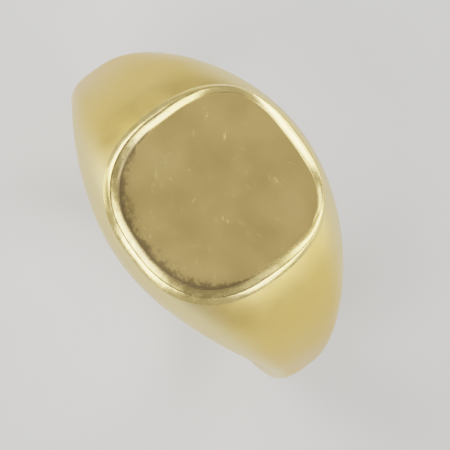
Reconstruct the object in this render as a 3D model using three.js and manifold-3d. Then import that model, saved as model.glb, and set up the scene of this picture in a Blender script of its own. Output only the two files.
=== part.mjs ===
// A cushion-faced gold signet ring, as the separate pieces that a goldsmith solders together.
//
// Millimetres. Y is the finger's axis, +Z points out through the face, and the band runs
// along X. The origin is the centre of the finger hole.

import * as THREE from 'three';
import { mergeVertices } from 'three/addons/utils/BufferGeometryUtils.js';
import Module from 'manifold-3d';

const wasm = await Module();
wasm.setup();

// Finger hole and band.
const FINGER_RADIUS = 9.5;
const SIDE_WALL = 1.4;
const BACK_WALL = 1.25;
const SHOULDER_SWELL = 2.85; // what the shoulders gain in thickness on their way to the head
const HEAD_WIDTH = 12.84;
const SIDE_WIDTH = 3.9;
const BACK_WIDTH = 3.4;
const WIDTH_TAPER = 2.05; // how soon the shoulders narrow: the power of the angle's cosine
const SQUARENESS = 2.7; // of the band's D-shaped section: 2 would be half an ellipse
const EDGE_HEIGHT = 0.3; // straight wall of the section, just above the finger hole
const EDGE_ROUND = 0.22; // comfort rounding where the wall meets the finger hole

// Head, as heights above the origin.
const FACE_LENGTH = 11.85; // along the band
const FACE_WIDTH = 11.96; // along the finger
const CUSHION_POWER = 2.42; // 2 would be an ellipse, and a large number a rectangle
const TOP_HEIGHT = 12; // where the band's swell is cut off flat under the face
const REBATE_HEIGHT = 11;
const PLATE_TOP = 11.88;
const RIM_CREST = 12.1;
const RIM_BAND = 0.8; // width of the rim around the plate
const SIDE_FILING = 0.18; // how much narrower filing has left the rim on its +Y side
const CORNER_FILING = 0.65; // how much squarer it left the plate's corners there, as a power
const BEAD_FOOT = 11.84; // where the rim's outer wall starts to round over
const BEAD_CREST = 0.45; // where the crest lies, as a share of the rim's width
const BEAD_FULLNESS = 1.4; // 1 would be a sharp ridge, and 2 a flat-topped bead
const PLATE_CHAMFER = 0.07; // worn edge of the plate
const LEDGE_BAND = 0.5; // how far the rim's bearing ledge reaches in under the plate
const LEDGE_THICKNESS = 0.22;
const SOLDER = 0.1; // thickness of each solder film
const LINING_WALL = 0.45;

// Where the band is divided, as angles from the face.
const HEAD_JOINT = THREE.MathUtils.degToRad(33);
const SHANK_JOINT = THREE.MathUtils.degToRad(98);

const FIT_GAP = 0.02; // room left between neighbouring pieces
const RING_STEP = THREE.MathUtils.degToRad(2.5);
const SECTION_STEPS = 24; // facets over the outside of the band
const OUTLINE_STEPS = 108; // facets around the cushion
const BEAD_STEPS = 10; // facets over the rim

const GOLD_COLOUR = 0xc7a760;
const SOLDER_COLOUR = 0xbfa66a;

// ---------------------------------------------------------------- closed meshes

// Two rows of triangles for each pair of neighbouring loops.
function wallTriangles(loopCount, size, closed) {
  const triangles = [];
  const last = closed ? loopCount : loopCount - 1;
  for (let k = 0; k < last; k++) {
    const here = k * size;
    const next = ((k + 1) % loopCount) * size;
    for (let i = 0; i < size; i++) {
      const j = (i + 1) % size;
      triangles.push(here + i, here + j, next + j);
      triangles.push(here + i, next + j, next + i);
    }
  }
  return triangles;
}

// A zigzag over one convex loop, whose points start at index `start`.
function capTriangles(start, size, flipped) {
  const triangles = [];
  const add = (a, b, c) => triangles.push(start + a, start + (flipped ? c : b), start + (flipped ? b : c));
  let low = 0;
  let high = size - 1;
  while (high - low > 1) {
    add(low, low + 1, high);
    low += 1;
    if (high - low > 1) {
      add(low, high - 1, high);
      high -= 1;
    }
  }
  return triangles;
}

// Joins loops of equally many points. A closed loft comes back to its first loop,
// and an open one is capped at both ends.
function loft(loops, closed = false) {
  const size = loops[0].length;
  const indices = wallTriangles(loops.length, size, closed);
  if (!closed) {
    indices.push(...capTriangles(0, size, true));
    indices.push(...capTriangles((loops.length - 1) * size, size, false));
  }
  const geometry = new THREE.BufferGeometry().setFromPoints(loops.flat());
  geometry.setIndex(indices);
  return geometry;
}

function toSolid(geometry) {
  const bare = geometry.clone();
  bare.deleteAttribute('normal');
  bare.deleteAttribute('uv');
  const merged = mergeVertices(bare, 1e-5);
  return new wasm.Manifold(new wasm.Mesh({
    numProp: 3,
    vertProperties: new Float32Array(merged.attributes.position.array),
    triVerts: new Uint32Array(merged.index.array),
  }));
}

function fromSolid(solid) {
  const mesh = solid.getMesh();
  const geometry = new THREE.BufferGeometry();
  geometry.setAttribute('position', new THREE.BufferAttribute(mesh.vertProperties, 3));
  geometry.setIndex(new THREE.BufferAttribute(mesh.triVerts, 1));
  return geometry;
}

function cutFrom(geometry, ...tools) {
  return fromSolid(tools.reduce((solid, tool) => solid.subtract(toSolid(tool)), toSolid(geometry)));
}

// ---------------------------------------------------------------- the band

function signedPower(value, power) {
  return Math.sign(value) * Math.abs(value) ** power;
}

// Angles along the band are measured from the face, positive towards +X.
function bandHalfWidth(angle) {
  const up = Math.max(Math.cos(angle), 0);
  const down = Math.max(-Math.cos(angle), 0);
  const towardsHead = (HEAD_WIDTH - SIDE_WIDTH) * up ** WIDTH_TAPER;
  return (SIDE_WIDTH + towardsHead - (SIDE_WIDTH - BACK_WIDTH) * down ** 2) / 2;
}

function bandOuterRadius(angle) {
  const up = Math.max(Math.cos(angle), 0);
  const down = Math.max(-Math.cos(angle), 0);
  const hoop = FINGER_RADIUS + SIDE_WALL - (SIDE_WALL - BACK_WALL) * down ** 2;
  return hoop + SHOULDER_SWELL * up ** 2;
}

// The rounded edges and the flat that meet the finger, from -Y to +Y.
function fingerSide(halfWidth) {
  return [
    [-halfWidth + EDGE_ROUND * 0.3, FINGER_RADIUS + EDGE_HEIGHT * 0.3],
    [-halfWidth + EDGE_ROUND, FINGER_RADIUS],
    [halfWidth - EDGE_ROUND, FINGER_RADIUS],
    [halfWidth - EDGE_ROUND * 0.3, FINGER_RADIUS + EDGE_HEIGHT * 0.3],
  ];
}

// The D-shaped section at one angle, with `skin` taken off its outside. The swell is cut
// off flat where it would stand above the face.
function bandSection(angle, skin = 0) {
  const halfWidth = bandHalfWidth(angle) - skin;
  const edge = FINGER_RADIUS + EDGE_HEIGHT;
  const rise = bandOuterRadius(angle) - skin - edge;
  const ceiling = TOP_HEIGHT / Math.max(Math.cos(angle), 0.5);
  const power = 2 / SQUARENESS;
  const section = [];
  for (let i = 0; i <= SECTION_STEPS; i++) {
    const turn = (Math.PI * i) / SECTION_STEPS;
    const across = signedPower(Math.cos(turn), power);
    const height = rise * Math.sin(turn) ** power;
    section.push([halfWidth * across, Math.min(edge + height, ceiling)]);
  }
  return [...section, ...fingerSide(halfWidth)];
}

function placeOnBand(section, angle) {
  return section.map(([y, radius]) =>
    new THREE.Vector3(radius * Math.sin(angle), y, radius * Math.cos(angle)));
}

// A length of band between two angles, with a section that may change along it.
function bandPiece(from, to, sectionAt) {
  const steps = Math.max(1, Math.round((to - from) / RING_STEP));
  const loops = [];
  for (let k = 0; k <= steps; k++) {
    const angle = from + ((to - from) * k) / steps;
    loops.push(placeOnBand(sectionAt(angle), angle));
  }
  return loft(loops);
}

// ---------------------------------------------------------------- the cushion head

// The face's outline, moved in by `inset`, as a loop at height `z`. The +Y half of the
// outlines inside the rim is filed out.
function cushionLoop(inset, z) {
  const inside = THREE.MathUtils.clamp(inset / RIM_BAND, 0, 1);
  const loop = [];
  for (let i = 0; i < OUTLINE_STEPS; i++) {
    const turn = (2 * Math.PI * i) / OUTLINE_STEPS;
    const filed = turn < Math.PI ? inside : 0;
    const power = 2 / (CUSHION_POWER + CORNER_FILING * filed);
    const halfLength = FACE_LENGTH / 2 - inset;
    const halfWidth = FACE_WIDTH / 2 - inset + SIDE_FILING * filed;
    loop.push(new THREE.Vector3(
      halfLength * signedPower(Math.cos(turn), power),
      halfWidth * signedPower(Math.sin(turn), power),
      z,
    ));
  }
  return loop;
}

// Profiles are lists of [inset, height], from the bottom up.
function cushionSlab(profile) {
  return loft(profile.map(([inset, z]) => cushionLoop(inset, z)));
}

// A profile that goes up the outside and comes down the inside.
function cushionRing(profile) {
  return loft(profile.map(([inset, z]) => cushionLoop(inset, z)), true);
}

// ---------------------------------------------------------------- the pieces

const GAP_ANGLE = FIT_GAP / FINGER_RADIUS;
const FILM_ANGLE = SOLDER / FINGER_RADIUS;

const ledgeTop = REBATE_HEIGHT + LEDGE_THICKNESS;
const plateBottom = ledgeTop + SOLDER;

// The rim's top, from its outer wall over the crest to the plate's edge.
function beadProfile() {
  const profile = [];
  for (let i = 0; i <= BEAD_STEPS; i++) {
    const across = i / BEAD_STEPS;
    const outside = across < BEAD_CREST;
    const foot = outside ? BEAD_FOOT : PLATE_TOP;
    const reach = outside ? BEAD_CREST : 1 - BEAD_CREST;
    const fall = (Math.abs(across - BEAD_CREST) / reach) ** BEAD_FULLNESS;
    profile.push([RIM_BAND * across, RIM_CREST - (RIM_CREST - foot) * fall]);
  }
  return profile;
}

// The polished bead that stands around the plate, with the ledge that carries the plate.
function bezelRim() {
  const ledgeInset = RIM_BAND + LEDGE_BAND;
  return cushionRing([
    [0, REBATE_HEIGHT + FIT_GAP],
    ...beadProfile(),
    [RIM_BAND, ledgeTop],
    [ledgeInset, ledgeTop],
    [ledgeInset, REBATE_HEIGHT + FIT_GAP],
  ]);
}

// The flat blank that a crest or initials would be engraved on.
function facePlate() {
  const inset = RIM_BAND + FIT_GAP;
  return cushionSlab([
    [inset, plateBottom],
    [inset, PLATE_TOP - PLATE_CHAMFER],
    [inset + PLATE_CHAMFER * 0.3, PLATE_TOP - PLATE_CHAMFER * 0.3],
    [inset + PLATE_CHAMFER, PLATE_TOP],
  ]);
}

// The thin bed of solder between the ledge and the plate.
function plateSolder() {
  const outer = RIM_BAND + FIT_GAP;
  const inner = RIM_BAND + LEDGE_BAND;
  return cushionRing([
    [outer, ledgeTop + FIT_GAP],
    [outer, plateBottom - FIT_GAP],
    [inner, plateBottom - FIT_GAP],
    [inner, ledgeTop + FIT_GAP],
  ]);
}

// The hollow block under the rim: the band's own shape, rebated for the rim, open down
// the middle, and thinned underneath for the lining.
function headCollar() {
  const block = bandPiece(-HEAD_JOINT, HEAD_JOINT, (angle) => bandSection(angle));
  const above = RIM_CREST + 1;
  const rebate = cushionSlab([[-FIT_GAP, REBATE_HEIGHT], [-FIT_GAP, above]]);
  const wellInset = RIM_BAND + LEDGE_BAND;
  const well = cushionSlab([[wellInset, 0], [wellInset, above]]);
  const liningOuter = FINGER_RADIUS + LINING_WALL + FIT_GAP;
  const liningBed = bandPiece(-Math.PI / 4, Math.PI / 4, () => [
    [HEAD_WIDTH, liningOuter],
    [-HEAD_WIDTH, liningOuter],
    [-HEAD_WIDTH, 1],
    [HEAD_WIDTH, 1],
  ]);
  return cutFrom(block, rebate, well, liningBed);
}

// The curved sheet that closes the hollow head against the finger.
function headLining() {
  return bandPiece(-HEAD_JOINT, HEAD_JOINT, (angle) => {
    const halfWidth = bandHalfWidth(angle) - FIT_GAP;
    const outer = FINGER_RADIUS + LINING_WALL;
    const edge = FINGER_RADIUS + EDGE_HEIGHT;
    return [
      [halfWidth, outer],
      [-halfWidth, outer],
      [-halfWidth, edge],
      ...fingerSide(halfWidth),
      [halfWidth, edge],
    ];
  });
}

// A length of full band between two angles on the side `side`, 1 towards +X and -1 towards -X.
function sidePiece(side, near, far, skin = 0) {
  const [from, to] = side > 0 ? [near, far] : [-far, -near];
  return bandPiece(from, to, (angle) => bandSection(angle, skin));
}

// The joint's film of solder lies just past its angle, a hair below the polished surface.
function jointSolder(side, joint) {
  return sidePiece(side, joint + GAP_ANGLE, joint + GAP_ANGLE + FILM_ANGLE, FIT_GAP);
}

// A shoulder runs from the head's solder film to the shank's.
function shoulder(side) {
  return sidePiece(side, HEAD_JOINT + FILM_ANGLE + 2 * GAP_ANGLE, SHANK_JOINT);
}

// The back of the band, from one shank joint round to the other.
function shank() {
  const start = SHANK_JOINT + FILM_ANGLE + 2 * GAP_ANGLE;
  return bandPiece(start, 2 * Math.PI - start, (angle) => bandSection(angle));
}

// ---------------------------------------------------------------- assembly

function piece(name, geometry, roughness, color = GOLD_COLOUR) {
  geometry.computeVertexNormals();
  const material = new THREE.MeshStandardMaterial({ color, roughness, metalness: 1 });
  const mesh = new THREE.Mesh(geometry, material);
  mesh.name = name;
  return mesh;
}

const ring = new THREE.Group();
ring.name = 'signet_ring';
ring.add(
  piece('face_plate', facePlate(), 0.42, 0xb59a5c),
  piece('plate_solder', plateSolder(), 0.6, 0x8a7444),
  piece('bezel_rim', bezelRim(), 0.18, 0xd2b56c),
  piece('head_collar', headCollar(), 0.3),
  piece('head_lining', headLining(), 0.3),
  piece('left_shoulder', shoulder(-1), 0.3),
  piece('right_shoulder', shoulder(1), 0.3),
  piece('left_head_solder', jointSolder(-1, HEAD_JOINT), 0.35, SOLDER_COLOUR),
  piece('right_head_solder', jointSolder(1, HEAD_JOINT), 0.35, SOLDER_COLOUR),
  piece('left_shank_solder', jointSolder(-1, SHANK_JOINT), 0.35, SOLDER_COLOUR),
  piece('right_shank_solder', jointSolder(1, SHANK_JOINT), 0.35, SOLDER_COLOUR),
  piece('shank', shank(), 0.3),
);

export default ring;
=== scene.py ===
"""A cushion-faced gold signet ring on a pale studio floor, seen from above its face.

Metres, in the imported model's frame: the origin is the centre of the finger hole, Y is the
finger's axis, +Z points out through the face, and the band runs along X.
"""

import math
import random

import bmesh
import bpy
from mathutils import Matrix, Vector, noise


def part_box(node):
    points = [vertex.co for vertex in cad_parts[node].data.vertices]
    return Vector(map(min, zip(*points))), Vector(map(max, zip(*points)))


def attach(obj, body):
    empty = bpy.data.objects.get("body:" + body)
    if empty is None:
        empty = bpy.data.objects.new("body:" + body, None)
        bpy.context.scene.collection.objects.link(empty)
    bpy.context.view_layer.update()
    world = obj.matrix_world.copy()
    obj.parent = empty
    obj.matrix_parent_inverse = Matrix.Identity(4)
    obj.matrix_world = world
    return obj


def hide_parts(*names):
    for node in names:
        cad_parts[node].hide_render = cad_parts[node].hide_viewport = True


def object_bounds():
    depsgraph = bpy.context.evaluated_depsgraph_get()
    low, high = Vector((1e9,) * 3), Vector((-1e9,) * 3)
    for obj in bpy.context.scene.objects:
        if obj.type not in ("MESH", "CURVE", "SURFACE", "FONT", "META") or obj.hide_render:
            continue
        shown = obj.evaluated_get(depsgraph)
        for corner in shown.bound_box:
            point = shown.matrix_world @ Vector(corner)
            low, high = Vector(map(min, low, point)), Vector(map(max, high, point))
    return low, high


MM = 0.001

random.seed(11)
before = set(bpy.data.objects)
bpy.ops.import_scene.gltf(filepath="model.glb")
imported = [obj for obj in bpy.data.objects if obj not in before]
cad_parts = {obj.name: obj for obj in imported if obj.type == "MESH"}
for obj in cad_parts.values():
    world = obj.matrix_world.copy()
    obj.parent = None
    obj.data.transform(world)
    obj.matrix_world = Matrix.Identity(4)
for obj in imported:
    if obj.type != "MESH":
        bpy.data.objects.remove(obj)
cad_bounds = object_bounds()

# ------------------------------------------------------------------ sizes

# The ring's form, which the boxes of the CAD nodes don't hold.
FINGER_RADIUS = 9.5 * MM
WIDTH_TAPER = 2.05  # how soon the shoulders narrow: the power of the angle's cosine
SQUARENESS = 2.7  # of the band's D-shaped section: 2 would be half an ellipse
SHOULDER_SWELL = 2.85 * MM
TOP_HEIGHT = 12 * MM  # where the band's swell is cut off flat under the face
SIDE_FILING = 0.18 * MM  # the rim is narrower on its +Y side, and the corners there squarer
CORNER_FILING = 0.65
BEAD_FOOT = 11.84 * MM  # where the rim's outer wall starts to round over
BEAD_CREST = 0.45  # where the crest lies, as a share of the rim's width
BEAD_FULLNESS = 1.4  # 1 would be a sharp ridge, and 2 a flat-topped bead
EDGE_HEIGHT = 0.3 * MM
EDGE_ROUND = 0.22 * MM
CUSHION_POWER = 2.42
HEAD_JOINT = math.radians(33)
SHANK_JOINT = math.radians(98)
SEAM = 0.004 * MM  # what polishing leaves open between soldered pieces
FILING_WOBBLE = 0.05 * MM  # how uneven hand filing has left the rim's inner edge
NICK_HALF_WIDTH = 0.045 * MM


def corners(node):
    """The lowest and highest corner of a CAD node."""
    low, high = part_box(node)
    return Vector(low), Vector(high)


shank_low, shank_high = corners("shank")
lining_low, lining_high = corners("head_lining")
rim_low, rim_high = corners("bezel_rim")
plate_low, plate_high = corners("face_plate")
bed_low, bed_high = corners("plate_solder")

HOOP_RADIUS = corners("right_shoulder")[1].x
BACK_RADIUS = -shank_low.z
LINING_RADIUS = lining_high.z
HEAD_WIDTH = lining_high.y - lining_low.y
SIDE_WIDTH = shank_high.y - shank_low.y
BACK_WIDTH = 0.87 * SIDE_WIDTH  # the band narrows a little more towards the back
FACE_LENGTH = rim_high.x - rim_low.x
FACE_WIDTH = rim_high.y - rim_low.y
RIM_BAND = plate_low.x - rim_low.x
RIM_CREST = rim_high.z
PLATE_TOP = plate_high.z
LEDGE_TOP = bed_low.z
LEDGE_BAND = 0.5 * MM
FILM_ANGLE = 0.14 * MM / FINGER_RADIUS  # what a solder film takes up along the band


# ------------------------------------------------------------------ camera

PHOTO_WIDTH = 450
CAMERA_DISTANCE = 190 * MM
TILT_TO_FLANK = math.radians(8.3)  # towards -Y
TILT_ALONG_BAND = math.radians(2.75)  # towards +X
ROLL = math.radians(53.4)  # how far the band runs below the picture's horizontal
SENSOR = 36.0
PIXELS_PER_METRE = 16650
OFF_CENTRE = Vector((-27.0, 4.6)) / PIXELS_PER_METRE  # where the ring's centre lies


def view_axes():
    """The camera's right, up and back directions."""
    back = Vector((math.sin(TILT_ALONG_BAND), -math.sin(TILT_TO_FLANK), 0))
    back.z = math.sqrt(1 - back.length_squared)
    along = (Vector((1, 0, 0)) - back.x * back).normalized()
    across = back.cross(along)
    right = along * math.cos(ROLL) + across * math.sin(ROLL)
    up = across * math.cos(ROLL) - along * math.sin(ROLL)
    return right, up, back


def make_camera():
    right, up, back = view_axes()
    data = bpy.data.cameras.new("photo_camera")
    data.sensor_width = SENSOR
    data.lens = SENSOR * PIXELS_PER_METRE * CAMERA_DISTANCE / PHOTO_WIDTH
    data.clip_start = 0.01
    data.clip_end = 10
    camera = bpy.data.objects.new("photo_camera", data)
    bpy.context.scene.collection.objects.link(camera)
    place = back * CAMERA_DISTANCE - right * OFF_CENTRE.x - up * OFF_CENTRE.y
    axes = Matrix((right, up, back)).transposed().to_4x4()
    camera.matrix_world = Matrix.Translation(place) @ axes
    bpy.context.scene.camera = camera


make_camera()


# ------------------------------------------------------------------ mesh helpers


def signed_power(value, power):
    return math.copysign(abs(value) ** power, value)


def mix(a, b, share):
    return a + (b - a) * share


def loft(name, loops, closed=False):
    """A closed mesh through loops of equally many points, with faces that look outwards."""
    size = len(loops[0])
    count = len(loops)
    faces = []
    for k in range(count if closed else count - 1):
        here = k * size
        there = (k + 1) % count * size
        for i in range(size):
            j = (i + 1) % size
            faces.append((here + i, here + j, there + j, there + i))
    if not closed:
        faces.append(tuple(reversed(range(size))))
        faces.append(tuple(range((count - 1) * size, count * size)))
    mesh = bpy.data.meshes.new(name)
    mesh.from_pydata([tuple(point) for loop in loops for point in loop], [], faces)
    return mesh


def finish_mesh(mesh, crease_degrees=38):
    """Smooth shading, with sharp edges kept where faces meet steeply."""
    bm = bmesh.new()
    bm.from_mesh(mesh)
    bmesh.ops.recalc_face_normals(bm, faces=bm.faces)
    bm.to_mesh(mesh)
    bm.free()
    mesh.shade_smooth()
    mesh.set_sharp_from_angle(angle=math.radians(crease_degrees))


def add_piece(node, mesh, material, crease_degrees=38):
    """Shows the mesh in place of a CAD node, riding on the ring's one body."""
    finish_mesh(mesh, crease_degrees)
    piece = bpy.data.objects.new(node, mesh)
    bpy.context.scene.collection.objects.link(piece)
    mesh.materials.append(material)
    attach(piece, "root")
    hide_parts(node)


def cut_mesh(mesh, cutters):
    """The mesh with every cutter mesh taken away from it."""
    scene = bpy.context.scene
    body = bpy.data.objects.new("cut_body", mesh)
    scene.collection.objects.link(body)
    tools = []
    for cutter in cutters:
        finish_mesh(cutter)
        tool = bpy.data.objects.new("cut_tool", cutter)
        scene.collection.objects.link(tool)
        tools.append(tool)
        modifier = body.modifiers.new("cut", "BOOLEAN")
        modifier.operation = "DIFFERENCE"
        modifier.solver = "EXACT"
        modifier.object = tool
    evaluated = body.evaluated_get(bpy.context.evaluated_depsgraph_get())
    result = bpy.data.meshes.new_from_object(evaluated)
    for used in [body, *tools]:
        bpy.data.objects.remove(used)
    return result


# ------------------------------------------------------------------ the band's form


def band_half_width(angle):
    up = max(math.cos(angle), 0)
    down = max(-math.cos(angle), 0)
    towards_head = (HEAD_WIDTH - SIDE_WIDTH) * up**WIDTH_TAPER
    return (SIDE_WIDTH + towards_head - (SIDE_WIDTH - BACK_WIDTH) * down**2) / 2


def band_outer_radius(angle):
    up = max(math.cos(angle), 0)
    down = max(-math.cos(angle), 0)
    return HOOP_RADIUS - (HOOP_RADIUS - BACK_RADIUS) * down**2 + SHOULDER_SWELL * up**2


def hand_finish(point, depth):
    """How far hand polishing has cut below the drawn surface at a point."""
    slow = noise.noise(point / (3.1 * MM))
    fast = noise.noise(point / (1.1 * MM) + Vector((7, 3, 5)))
    return depth * (0.5 + 0.35 * slow + 0.15 * fast)


def band_section(angle, steps, inner_radius=FINGER_RADIUS):
    """Points (across, radius) around the D-shaped section, cut off flat under the face."""
    half_width = band_half_width(angle)
    edge = FINGER_RADIUS + EDGE_HEIGHT
    rise = band_outer_radius(angle) - edge
    ceiling = TOP_HEIGHT / max(math.cos(angle), 0.5)
    power = 2 / SQUARENESS
    section = []
    for i in range(steps + 1):
        turn = math.pi * i / steps
        height = rise * max(math.sin(turn), 0) ** power
        across = signed_power(math.cos(turn), power)
        section.append((half_width * across, min(edge + height, ceiling)))
    return section + inner_edge(half_width, inner_radius)


def inner_edge(half_width, inner_radius, steps=6, flat_steps=10):
    """The rounded edges and the flat that meet the finger, from -Y to +Y."""
    edge = FINGER_RADIUS + EDGE_HEIGHT
    drop = edge - inner_radius
    corner = []
    for i in range(1, steps + 1):
        turn = math.pi / 2 * i / steps
        corner.append((EDGE_ROUND * (1 - math.cos(turn)), edge - drop * math.sin(turn)))
    points = [(-half_width + inset, radius) for inset, radius in corner]
    flat = half_width - EDGE_ROUND
    for i in range(1, flat_steps):
        points.append((-flat + 2 * flat * i / flat_steps, inner_radius))
    points += [(half_width - inset, radius) for inset, radius in reversed(corner)]
    return points


def on_band(across, radius, angle):
    return Vector((radius * math.sin(angle), across, radius * math.cos(angle)))


def band_loops(start, end, step_degrees=0.8, steps=84, finish_depth=0.012 * MM):
    """Loops of points round the section, from one angle along the band to another."""
    count = max(2, round(math.degrees(end - start) / step_degrees))
    loops = []
    for k in range(count + 1):
        angle = start + (end - start) * k / count
        loop = []
        for across, radius in band_section(angle, steps):
            point = on_band(across, radius, angle)
            if radius > FINGER_RADIUS + EDGE_HEIGHT:
                point = on_band(across, radius - hand_finish(point, finish_depth), angle)
            loop.append(point)
        loops.append(loop)
    return loops


def side_loops(side, near, far, **options):
    """Band loops between two angles, towards +X for side 1 and towards -X for side -1."""
    start, end = (near, far) if side > 0 else (-far, -near)
    return band_loops(start, end, **options)


# ------------------------------------------------------------------ the head's form


def cushion_point(turn, inset, height):
    filed = min(max(inset / RIM_BAND, 0), 1) if math.sin(turn) > 0 else 0
    power = 2 / (CUSHION_POWER + CORNER_FILING * filed)
    half_length = FACE_LENGTH / 2 - inset
    half_width = FACE_WIDTH / 2 - inset + SIDE_FILING * filed
    return Vector((
        half_length * signed_power(math.cos(turn), power),
        half_width * signed_power(math.sin(turn), power),
        height,
    ))


def even_turns(count):
    """Parameter values that space `count` points evenly round the cushion's outline."""
    fine = 20 * count
    points = [cushion_point(2 * math.pi * i / fine, 0, 0) for i in range(fine + 1)]
    lengths = [0.0]
    for a, b in zip(points, points[1:]):
        lengths.append(lengths[-1] + (b - a).length)
    turns = []
    index = 0
    for k in range(count):
        target = lengths[-1] * k / count
        while lengths[index + 1] < target:
            index += 1
        share = (target - lengths[index]) / (lengths[index + 1] - lengths[index])
        turns.append(2 * math.pi * (index + share) / fine)
    return turns


def cushion_loop(inset, height, turns):
    """A loop round the cushion, a little uneven inside the rim as hand filing leaves it."""
    wobble = FILING_WOBBLE * min(max(inset / RIM_BAND, 0), 1)
    loop = []
    for turn in turns:
        uneven = wobble * noise.noise(cushion_point(turn, 0, 0) / (1.6 * MM))
        loop.append(cushion_point(turn, inset + uneven, height))
    return loop


# ------------------------------------------------------------------ materials


class Shader:
    """A node material on one Principled BSDF, built from short calls."""

    def __init__(self, name):
        self.material = bpy.data.materials.new(name)
        self.material.use_nodes = True
        self.tree = self.material.node_tree
        self.bsdf = self.tree.nodes["Principled BSDF"]
        self.position = self.node("ShaderNodeTexCoord").outputs["Object"]

    def node(self, kind, inputs=None, **settings):
        made = self.tree.nodes.new(kind)
        for key, value in settings.items():
            setattr(made, key, value)
        for key, value in (inputs or {}).items():
            self.put(made.inputs[key], value)
        return made

    def put(self, socket, value):
        if isinstance(value, bpy.types.NodeSocket):
            self.tree.links.new(value, socket)
        else:
            socket.default_value = value

    def math(self, operation, a, b=0.0, c=0.0):
        return self.node("ShaderNodeMath", {0: a, 1: b, 2: c}, operation=operation).outputs[0]

    def scaled(self, scale, turn_degrees=0.0, offset=0.0):
        """Object coordinates in cells per metre, turned about Z first.

        The scale is one number, or one for each axis.
        """
        cells = scale if isinstance(scale, tuple) else (scale, scale, scale)
        turned = self.node(
            "ShaderNodeMapping",
            {
                "Vector": self.position,
                "Rotation": (0, 0, math.radians(turn_degrees)),
                "Location": (offset, offset, offset),
            },
        ).outputs[0]
        made = self.node("ShaderNodeVectorMath", {0: turned, 1: cells}, operation="MULTIPLY")
        return made.outputs[0]

    def noise(self, scale, detail=2.0, turn_degrees=0.0, offset=0.0, roughness=0.5):
        made = self.node(
            "ShaderNodeTexNoise",
            {
                "Vector": self.scaled(scale, turn_degrees, offset),
                "Scale": 1.0,
                "Detail": detail,
                "Roughness": roughness,
            },
        )
        return made.outputs["Fac"]

    def ramp(self, value, low, high, to_low=0.0, to_high=1.0):
        made = self.node(
            "ShaderNodeMapRange",
            {
                "Value": value,
                "From Min": low,
                "From Max": high,
                "To Min": to_low,
                "To Max": to_high,
            },
            interpolation_type="SMOOTHSTEP",
        )
        return made.outputs[0]

    def mix(self, share, first, second):
        made = self.node("ShaderNodeMix", data_type="RGBA")
        self.put(made.inputs["Factor"], share)
        self.put(made.inputs["A"], first)
        self.put(made.inputs["B"], second)
        return made.outputs["Result"]

    def bump(self, height, distance, below=None):
        inputs = {"Height": height, "Distance": distance, "Strength": 1.0}
        if below is not None:
            inputs["Normal"] = below
        return self.node("ShaderNodeBump", inputs).outputs[0]

    def plate_edge_distance(self):
        """Metres outside the plate's outline, negative inside it."""
        axes = self.node("ShaderNodeSeparateXYZ", {0: self.position}).outputs
        filed = self.math("GREATER_THAN", axes[1], 0.0)
        power = self.math("MULTIPLY_ADD", filed, CORNER_FILING, CUSHION_POWER)
        half_x = FACE_LENGTH / 2 - RIM_BAND
        half_y = self.math("MULTIPLY_ADD", filed, SIDE_FILING, FACE_WIDTH / 2 - RIM_BAND)
        x = self.math("ABSOLUTE", self.math("DIVIDE", axes[0], half_x))
        y = self.math("ABSOLUTE", self.math("DIVIDE", axes[1], half_y))
        total = self.math("ADD", self.math("POWER", x, power), self.math("POWER", y, power))
        size = self.math("POWER", total, self.math("DIVIDE", 1.0, power))
        return self.math("MULTIPLY", self.math("SUBTRACT", size, 1.0), half_x)

    def plate_edge_darkening(self):
        """Painted darkness at the plate's edge, 0 to 1: a ragged line and painted shade, most at
        -Y.
        """
        distance = self.math("ABSOLUTE", self.plate_edge_distance())
        y = self.node("ShaderNodeSeparateXYZ", {0: self.position}).outputs[1]
        side = self.ramp(y, -0.2 * MM, -4.4 * MM)
        ragged = self.noise(2300, 4.0, roughness=0.7)
        reach = self.math("MULTIPLY_ADD", side, 1.0 * MM, 0.02 * MM)
        reach = self.math("MULTIPLY", reach, self.ramp(ragged, 0.35, 0.7, 0.35, 1.3))
        # a ragged dark line along the plate's edge, widest on the -Y side
        ragged_edge_line = self.ramp(self.math("DIVIDE", distance, reach), 1.0, 0.1)
        # painted shade: a soft darkening spreading in from the plate's edge on the -Y side
        painted_side_shade = self.ramp(distance, 1.1 * MM, 0.0)
        painted_side_shade = self.math("MULTIPLY", self.math("MULTIPLY", painted_side_shade, side), 0.35)
        return self.math("MAXIMUM", ragged_edge_line, painted_side_shade)


def rgba(red, green, blue):
    return (red, green, blue, 1.0)


BRIGHT_GOLD = rgba(0.90, 0.64, 0.21)
WORN_BRIGHT = rgba(0.91, 0.67, 0.26)
# painted shade: the band's two golds are darker copies of the rim's gold
SHADED_DULL_GOLD = rgba(0.74, 0.47, 0.12)
SHADED_WORN_DULL = rgba(0.76, 0.51, 0.16)
# painted sheen: a paler gold painted on the band's flanks
FLANK_SHEEN_GOLD = rgba(0.78, 0.61, 0.29)
SATIN_GOLD = rgba(0.88, 0.585, 0.19)
WORN_SATIN = rgba(0.90, 0.61, 0.22)
# dark brown for the solder bed's grime, and for the painted darkening at the plate's edge
GRIME_AND_SHADE = rgba(0.09, 0.07, 0.045)
OLD_SOLDER = rgba(0.30, 0.24, 0.13)


def hairlines(shader, turn_degrees, per_mm, length_mm, width, cover):
    """Thin scratches that run one way: the level lines of a stretched noise, broken up."""
    along = 1 / (length_mm * MM)
    across = per_mm / MM
    field = shader.noise((along, across, across), 1.0, turn_degrees, offset=turn_degrees)
    level = shader.math("ABSOLUTE", shader.math("SUBTRACT", field, 0.5))
    lines = shader.ramp(level, width, 0.0)
    patches = shader.noise(1400, 2.0, offset=0.7 + turn_degrees)
    return shader.math("MULTIPLY", lines, shader.ramp(patches, 0.62 - cover, 0.72 - cover))


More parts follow.
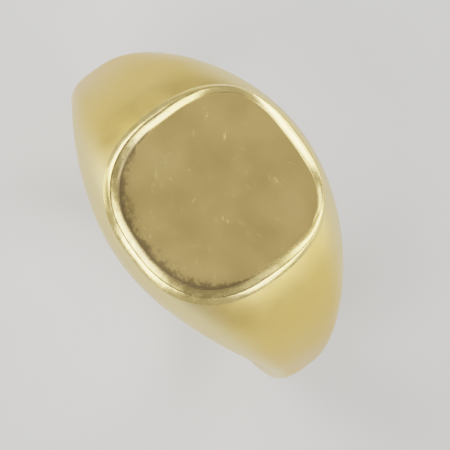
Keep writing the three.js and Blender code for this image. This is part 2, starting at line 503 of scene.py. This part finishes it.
def polished_gold():
    """The rim: bright, with hairlines and small wear marks."""
    shader = Shader("polished_gold")
    tone = shader.noise(350, 3.0)
    colour = shader.mix(shader.ramp(tone, 0.35, 0.65), BRIGHT_GOLD, WORN_BRIGHT)
    # the rim's inner edge is painted darker, most on the -Y side, partly as painted shade
    dark_edge_mask = shader.math("MULTIPLY", shader.plate_edge_darkening(), 0.5)
    shader.put(shader.bsdf.inputs["Base Color"], shader.mix(dark_edge_mask, colour, GRIME_AND_SHADE))
    wear = shader.ramp(shader.noise(1500, 4.0), 0.3, 0.75, 0.19, 0.28)
    marks = hairlines(shader, 31, 5, 0.9, 0.02, 0.08)
    rough = shader.math("ADD", wear, shader.math("MULTIPLY", marks, 0.1))
    shader.put(shader.bsdf.inputs["Roughness"], rough)
    dents = shader.bump(shader.noise(900, 3.0), 0.02 * MM)
    shader.put(shader.bsdf.inputs["Normal"], shader.bump(marks, -0.001 * MM, dents))
    shader.bsdf.inputs["Metallic"].default_value = 1.0
    return shader.material


def soft_gold(name, roughness):
    """The band: soft polish dulled by handling, scratched both ways, with painted shade and
    sheen.
    """
    shader = Shader(name)
    tone = shader.noise(180, 4.0)
    # painted shade: the band's gold is darker than the rim's
    colour = shader.mix(shader.ramp(tone, 0.3, 0.7), SHADED_DULL_GOLD, SHADED_WORN_DULL)
    # painted sheen: faces turned towards +Y or -Y are painted paler, standing in for the light
    # the flanks catch
    normal = shader.node("ShaderNodeTexCoord").outputs["Normal"]
    sideways = shader.node("ShaderNodeSeparateXYZ", {0: normal}).outputs[1]
    flank_sheen = shader.ramp(shader.math("ABSOLUTE", sideways), 0.22, 0.7)
    shader.put(shader.bsdf.inputs["Base Color"], shader.mix(flank_sheen, colour, FLANK_SHEEN_GOLD))
    smudge = shader.noise(420, 5.0, offset=0.3)
    along = hairlines(shader, 4, 5, 0.8, 0.02, 0.1)
    across = hairlines(shader, 68, 4, 0.6, 0.015, 0.05)
    marks = shader.math("MAXIMUM", along, across)
    rough = shader.ramp(smudge, 0.3, 0.7, roughness - 0.05, roughness + 0.07)
    rough = shader.math("ADD", rough, shader.math("MULTIPLY", marks, 0.08))
    shader.put(shader.bsdf.inputs["Roughness"], rough)
    grain = shader.bump(shader.noise(9000, 2.0), 0.0012 * MM)
    shader.put(shader.bsdf.inputs["Normal"], shader.bump(marks, -0.001 * MM, grain))
    shader.bsdf.inputs["Metallic"].default_value = 1.0
    return shader.material


def brushed_gold():
    """The face plate: satin from many fine strokes, browner, and painted darker at its edge."""
    shader = Shader("brushed_gold")
    tone = shader.noise(260, 5.0)
    colour = shader.mix(tone, SATIN_GOLD, WORN_SATIN)
    # the plate's edge is painted darker, most on the -Y side, partly as painted shade
    dark_edge_mask = shader.plate_edge_darkening()
    shaded = shader.mix(shader.math("MULTIPLY", dark_edge_mask, 0.85), colour, GRIME_AND_SHADE)
    shader.put(shader.bsdf.inputs["Base Color"], shaded)
    rough = shader.ramp(tone, 0.3, 0.7, 0.28, 0.34)
    rough = shader.math("ADD", rough, shader.math("MULTIPLY", dark_edge_mask, 0.06))
    shader.put(shader.bsdf.inputs["Roughness"], rough)
    strokes = shader.noise((700, 16000, 16000), 3.0, turn_degrees=6)
    cross = shader.noise((16000, 900, 16000), 2.0, turn_degrees=24)
    satin = shader.math("ADD", strokes, shader.math("MULTIPLY", cross, 0.4))
    fine = shader.bump(satin, 0.0015 * MM)
    marks = hairlines(shader, -8, 4, 2.4, 0.012, 0.07)
    shader.put(shader.bsdf.inputs["Normal"], shader.bump(marks, -0.0012 * MM, fine))
    shader.bsdf.inputs["Metallic"].default_value = 1.0
    return shader.material


def dirty_solder():
    """The plate's bed, dark where polish and grime have caked into its edge."""
    shader = Shader("dirty_solder")
    patch = shader.noise(1800, 4.0)
    colour = shader.mix(shader.ramp(patch, 0.3, 0.7), GRIME_AND_SHADE, OLD_SOLDER)
    shader.put(shader.bsdf.inputs["Base Color"], colour)
    shader.put(shader.bsdf.inputs["Roughness"], shader.ramp(patch, 0.3, 0.7, 0.75, 0.5))
    shader.put(shader.bsdf.inputs["Normal"], shader.bump(patch, 0.02 * MM))
    shader.bsdf.inputs["Metallic"].default_value = 0.6
    return shader.material


POLISHED = polished_gold()
SOFT = soft_gold("soft_polished_gold", 0.37)
FILM = soft_gold("gold_solder", 0.39)
BRUSHED = brushed_gold()
BED = dirty_solder()


# ------------------------------------------------------------------ the pieces


def make_shoulder(side, name):
    start = HEAD_JOINT + FILM_ANGLE
    loops = side_loops(side, start, SHANK_JOINT - SEAM / FINGER_RADIUS)
    add_piece(name, loft(name, loops), SOFT)


def make_joint_solder(side, joint, name):
    gap = SEAM / FINGER_RADIUS
    loops = side_loops(side, joint + gap, joint + FILM_ANGLE - gap)
    add_piece(name, loft(name, loops), FILM)


def make_shank():
    start = SHANK_JOINT + FILM_ANGLE
    loops = band_loops(start, 2 * math.pi - start)
    add_piece("shank", loft("shank", loops), SOFT)


def make_collar():
    """The block under the rim, rebated for it, with an open well and a bed for the lining."""
    turns = even_turns(240)
    block = loft("head_collar", band_loops(-HEAD_JOINT, HEAD_JOINT))
    above = RIM_CREST + 1 * MM
    gap = 0.003 * MM
    well_inset = RIM_BAND + LEDGE_BAND
    seat = loft("seat", [cushion_loop(-gap, z, turns) for z in (rim_low.z - gap, above)])
    well = loft("well", [cushion_loop(well_inset, z, turns) for z in (0, above)])
    reach = math.radians(45)
    steps = 90
    outer = LINING_RADIUS + gap
    inner = 1 * MM
    ends = ((HEAD_WIDTH, outer), (-HEAD_WIDTH, outer), (-HEAD_WIDTH, inner), (HEAD_WIDTH, inner))
    bed = []
    for k in range(steps + 1):
        angle = -reach + 2 * reach * k / steps
        bed.append([on_band(across, radius, angle) for across, radius in ends])
    mesh = cut_mesh(block, [seat, well, loft("bed", bed)])
    mesh.materials.clear()
    add_piece("head_collar", mesh, SOFT, 30)


def make_lining():
    loops = []
    steps = 84
    for k in range(steps + 1):
        angle = -HEAD_JOINT + 2 * HEAD_JOINT * k / steps
        half_width = band_half_width(angle) - 0.01 * MM
        section = [(half_width, LINING_RADIUS), (-half_width, LINING_RADIUS)]
        section += inner_edge(half_width, FINGER_RADIUS)
        loops.append([on_band(across, radius, angle) for across, radius in section])
    add_piece("head_lining", loft("head_lining", loops), SOFT)


def rim_profile():
    """(inset, height) round the rim's section: a soft ridge on a wall, and the ledge."""
    base = rim_low.z
    inner_foot = PLATE_TOP - 0.01 * MM
    ledge = LEDGE_TOP - 0.02 * MM
    wall_steps = 8
    steps = 60
    profile = [(0.0, mix(base, BEAD_FOOT, k / wall_steps)) for k in range(wall_steps)]
    for k in range(steps + 1):
        across = k / steps
        foot = BEAD_FOOT if across < BEAD_CREST else inner_foot
        reach = BEAD_CREST if across < BEAD_CREST else 1 - BEAD_CREST
        fall = (abs(across - BEAD_CREST) / reach) ** BEAD_FULLNESS
        profile.append((RIM_BAND * across, mix(RIM_CREST, foot, fall)))
    profile.append((RIM_BAND, ledge))
    profile.append((RIM_BAND + LEDGE_BAND, ledge))
    profile.append((RIM_BAND + LEDGE_BAND, base))
    return profile


def make_rim():
    turns = even_turns(420)
    loops = [cushion_loop(inset, height, turns) for inset, height in rim_profile()]
    mesh = loft("bezel_rim", loops, closed=True)
    add_piece("bezel_rim", mesh, POLISHED)


def scatter_nicks(count):
    """Small nicks on the plate, as (x, y, half length, degrees from X, depth)."""
    nicks = []
    for k in range(count):
        turn = random.uniform(0, 2 * math.pi)
        reach = 0.42 * FACE_LENGTH * math.sqrt(random.random())
        nicks.append((
            reach * math.cos(turn),
            reach * math.sin(turn),
            random.uniform(0.06, 0.28) * MM,
            random.gauss(0, 30),
            random.uniform(0.003, 0.017) * MM,
        ))
    return nicks


def nick_depth(point, nicks):
    """How deep the plate's nicks are at a point on it."""
    deepest = 0.0
    for x, y, half_length, degrees, depth in nicks:
        offset = Vector((point.x - x, point.y - y))
        if offset.length > 3 * half_length:
            continue
        turn = math.radians(degrees)
        along = offset.x * math.cos(turn) + offset.y * math.sin(turn)
        across = offset.y * math.cos(turn) - offset.x * math.sin(turn)
        fall = (along / half_length) ** 2 + (across / NICK_HALF_WIDTH) ** 2
        deepest = max(deepest, depth * math.exp(-fall))
    return deepest


def plate_sag(point):
    """Hand-filed unevenness of the flat face."""
    return 0.002 * MM * (0.5 + 0.5 * noise.noise(point / (2.8 * MM)))


def make_plate():
    turns = even_turns(640)
    gap = 0.005 * MM
    inset = RIM_BAND + gap
    floor = bed_high.z + gap
    chamfer = 0.04 * MM
    loops = [cushion_loop(inset, floor, turns)]
    loops.append(cushion_loop(inset, PLATE_TOP - chamfer, turns))
    loops.append(cushion_loop(inset + 0.3 * chamfer, PLATE_TOP - 0.3 * chamfer, turns))
    middle = Vector((0, 0, PLATE_TOP))
    nicks = scatter_nicks(100)
    rings = 104
    edges = cushion_loop(inset + chamfer, PLATE_TOP, turns)
    for k in range(rings):
        loop = []
        for edge in edges:
            point = edge.lerp(middle, k / rings)
            point.z -= nick_depth(point, nicks) + plate_sag(point)
            loop.append(point)
        loops.append(loop)
    mesh = loft("face_plate", loops)
    add_piece("face_plate", mesh, BRUSHED, 30)


def make_plate_solder():
    """The bed under the plate's edge."""
    turns = even_turns(240)
    inner = RIM_BAND + LEDGE_BAND
    outer = RIM_BAND + 0.02 * MM
    profile = ((outer, bed_low.z), (outer, bed_high.z), (inner, bed_high.z), (inner, bed_low.z))
    loops = [cushion_loop(inset, height, turns) for inset, height in profile]
    mesh = loft("plate_solder", loops, closed=True)
    add_piece("plate_solder", mesh, BED)


make_shank()
make_shoulder(-1, "left_shoulder")
make_shoulder(1, "right_shoulder")
make_joint_solder(-1, HEAD_JOINT, "left_head_solder")
make_joint_solder(1, HEAD_JOINT, "right_head_solder")
make_joint_solder(-1, SHANK_JOINT, "left_shank_solder")
make_joint_solder(1, SHANK_JOINT, "right_shank_solder")
make_collar()
make_lining()
make_rim()
make_plate_solder()
make_plate()


# ------------------------------------------------------------------ studio

LIGHT_DISTANCE = 0.5
WALL_LIGHT = 0.48  # strength of the room's light from the sides and below
CEILING_LIGHT = 0.26  # and from straight above


def make_floor():
    mesh = bpy.data.meshes.new("floor")
    reach = 0.6
    level = cad_bounds[0][2]
    signs = ((-1, -1), (1, -1), (1, 1), (-1, 1))
    mesh.from_pydata([(x * reach, y * reach, level) for x, y in signs], [], [(0, 1, 2, 3)])
    shader = Shader("pale_floor")
    tone = shader.noise(40, 4.0)
    colour = shader.mix(tone, rgba(0.535, 0.53, 0.51), rgba(0.575, 0.57, 0.55))
    shader.put(shader.bsdf.inputs["Base Color"], colour)
    shader.put(shader.bsdf.inputs["Roughness"], shader.ramp(tone, 0.3, 0.7, 0.8, 0.9))
    mesh.materials.append(shader.material)
    floor = bpy.data.objects.new("floor", mesh)
    bpy.context.scene.collection.objects.link(floor)


def add_softbox(name, azimuth, elevation, width, height, radiance):
    """A softbox facing the ring.

    Azimuth is counted in degrees from the picture's right, upwards, and elevation from the
    picture's plane towards the camera.
    """
    right, up, back = view_axes()
    turn = math.radians(azimuth)
    rise = math.radians(elevation)
    level = right * math.cos(turn) + up * math.sin(turn)
    direction = level * math.cos(rise) + back * math.sin(rise)
    across = back.cross(level)
    data = bpy.data.lights.new(name, "AREA")
    data.shape = "RECTANGLE"
    data.size = width
    data.size_y = height
    data.energy = radiance * math.pi * width * height
    light = bpy.data.objects.new(name, data)
    bpy.context.scene.collection.objects.link(light)
    axes = Matrix((across, direction.cross(across), direction)).transposed().to_4x4()
    light.matrix_world = Matrix.Translation(direction * LIGHT_DISTANCE) @ axes


def make_room():
    """Soft light from pale walls under a dimmer ceiling."""
    world = bpy.data.worlds.new("studio")
    world.use_nodes = True
    tree = world.node_tree
    direction = tree.nodes.new("ShaderNodeTexCoord").outputs["Generated"]
    axes = tree.nodes.new("ShaderNodeSeparateXYZ")
    height = tree.nodes.new("ShaderNodeMapRange")
    height.interpolation_type = "SMOOTHSTEP"
    height.inputs["From Min"].default_value = 0.55
    height.inputs["From Max"].default_value = 0.88
    height.inputs["To Min"].default_value = WALL_LIGHT
    height.inputs["To Max"].default_value = CEILING_LIGHT
    tree.links.new(direction, axes.inputs[0])
    tree.links.new(axes.outputs[2], height.inputs["Value"])
    background = tree.nodes["Background"]
    background.inputs["Color"].default_value = rgba(1.0, 1.0, 1.0)
    tree.links.new(height.outputs[0], background.inputs["Strength"])
    bpy.context.scene.world = world


def light_studio():
    make_room()
    add_softbox("lower_left_box", 217, 52, 0.22, 0.40, 8.0)
    add_softbox("upper_left_box", 136, 43, 0.30, 0.32, 7.0)
    add_softbox("upper_right_box", 37, 27, 0.24, 0.30, 7.5)
    add_softbox("lower_right_box", 322, 35, 0.22, 0.28, 5.6)
    add_softbox("left_box", 168, 10, 0.26, 0.24, 2.6)
    add_softbox("right_box", 350, 10, 0.22, 0.22, 3.0)


make_floor()
light_studio()
bpy.context.scene.view_settings.view_transform = "Filmic"
bpy.context.scene.view_settings.exposure = 0.0
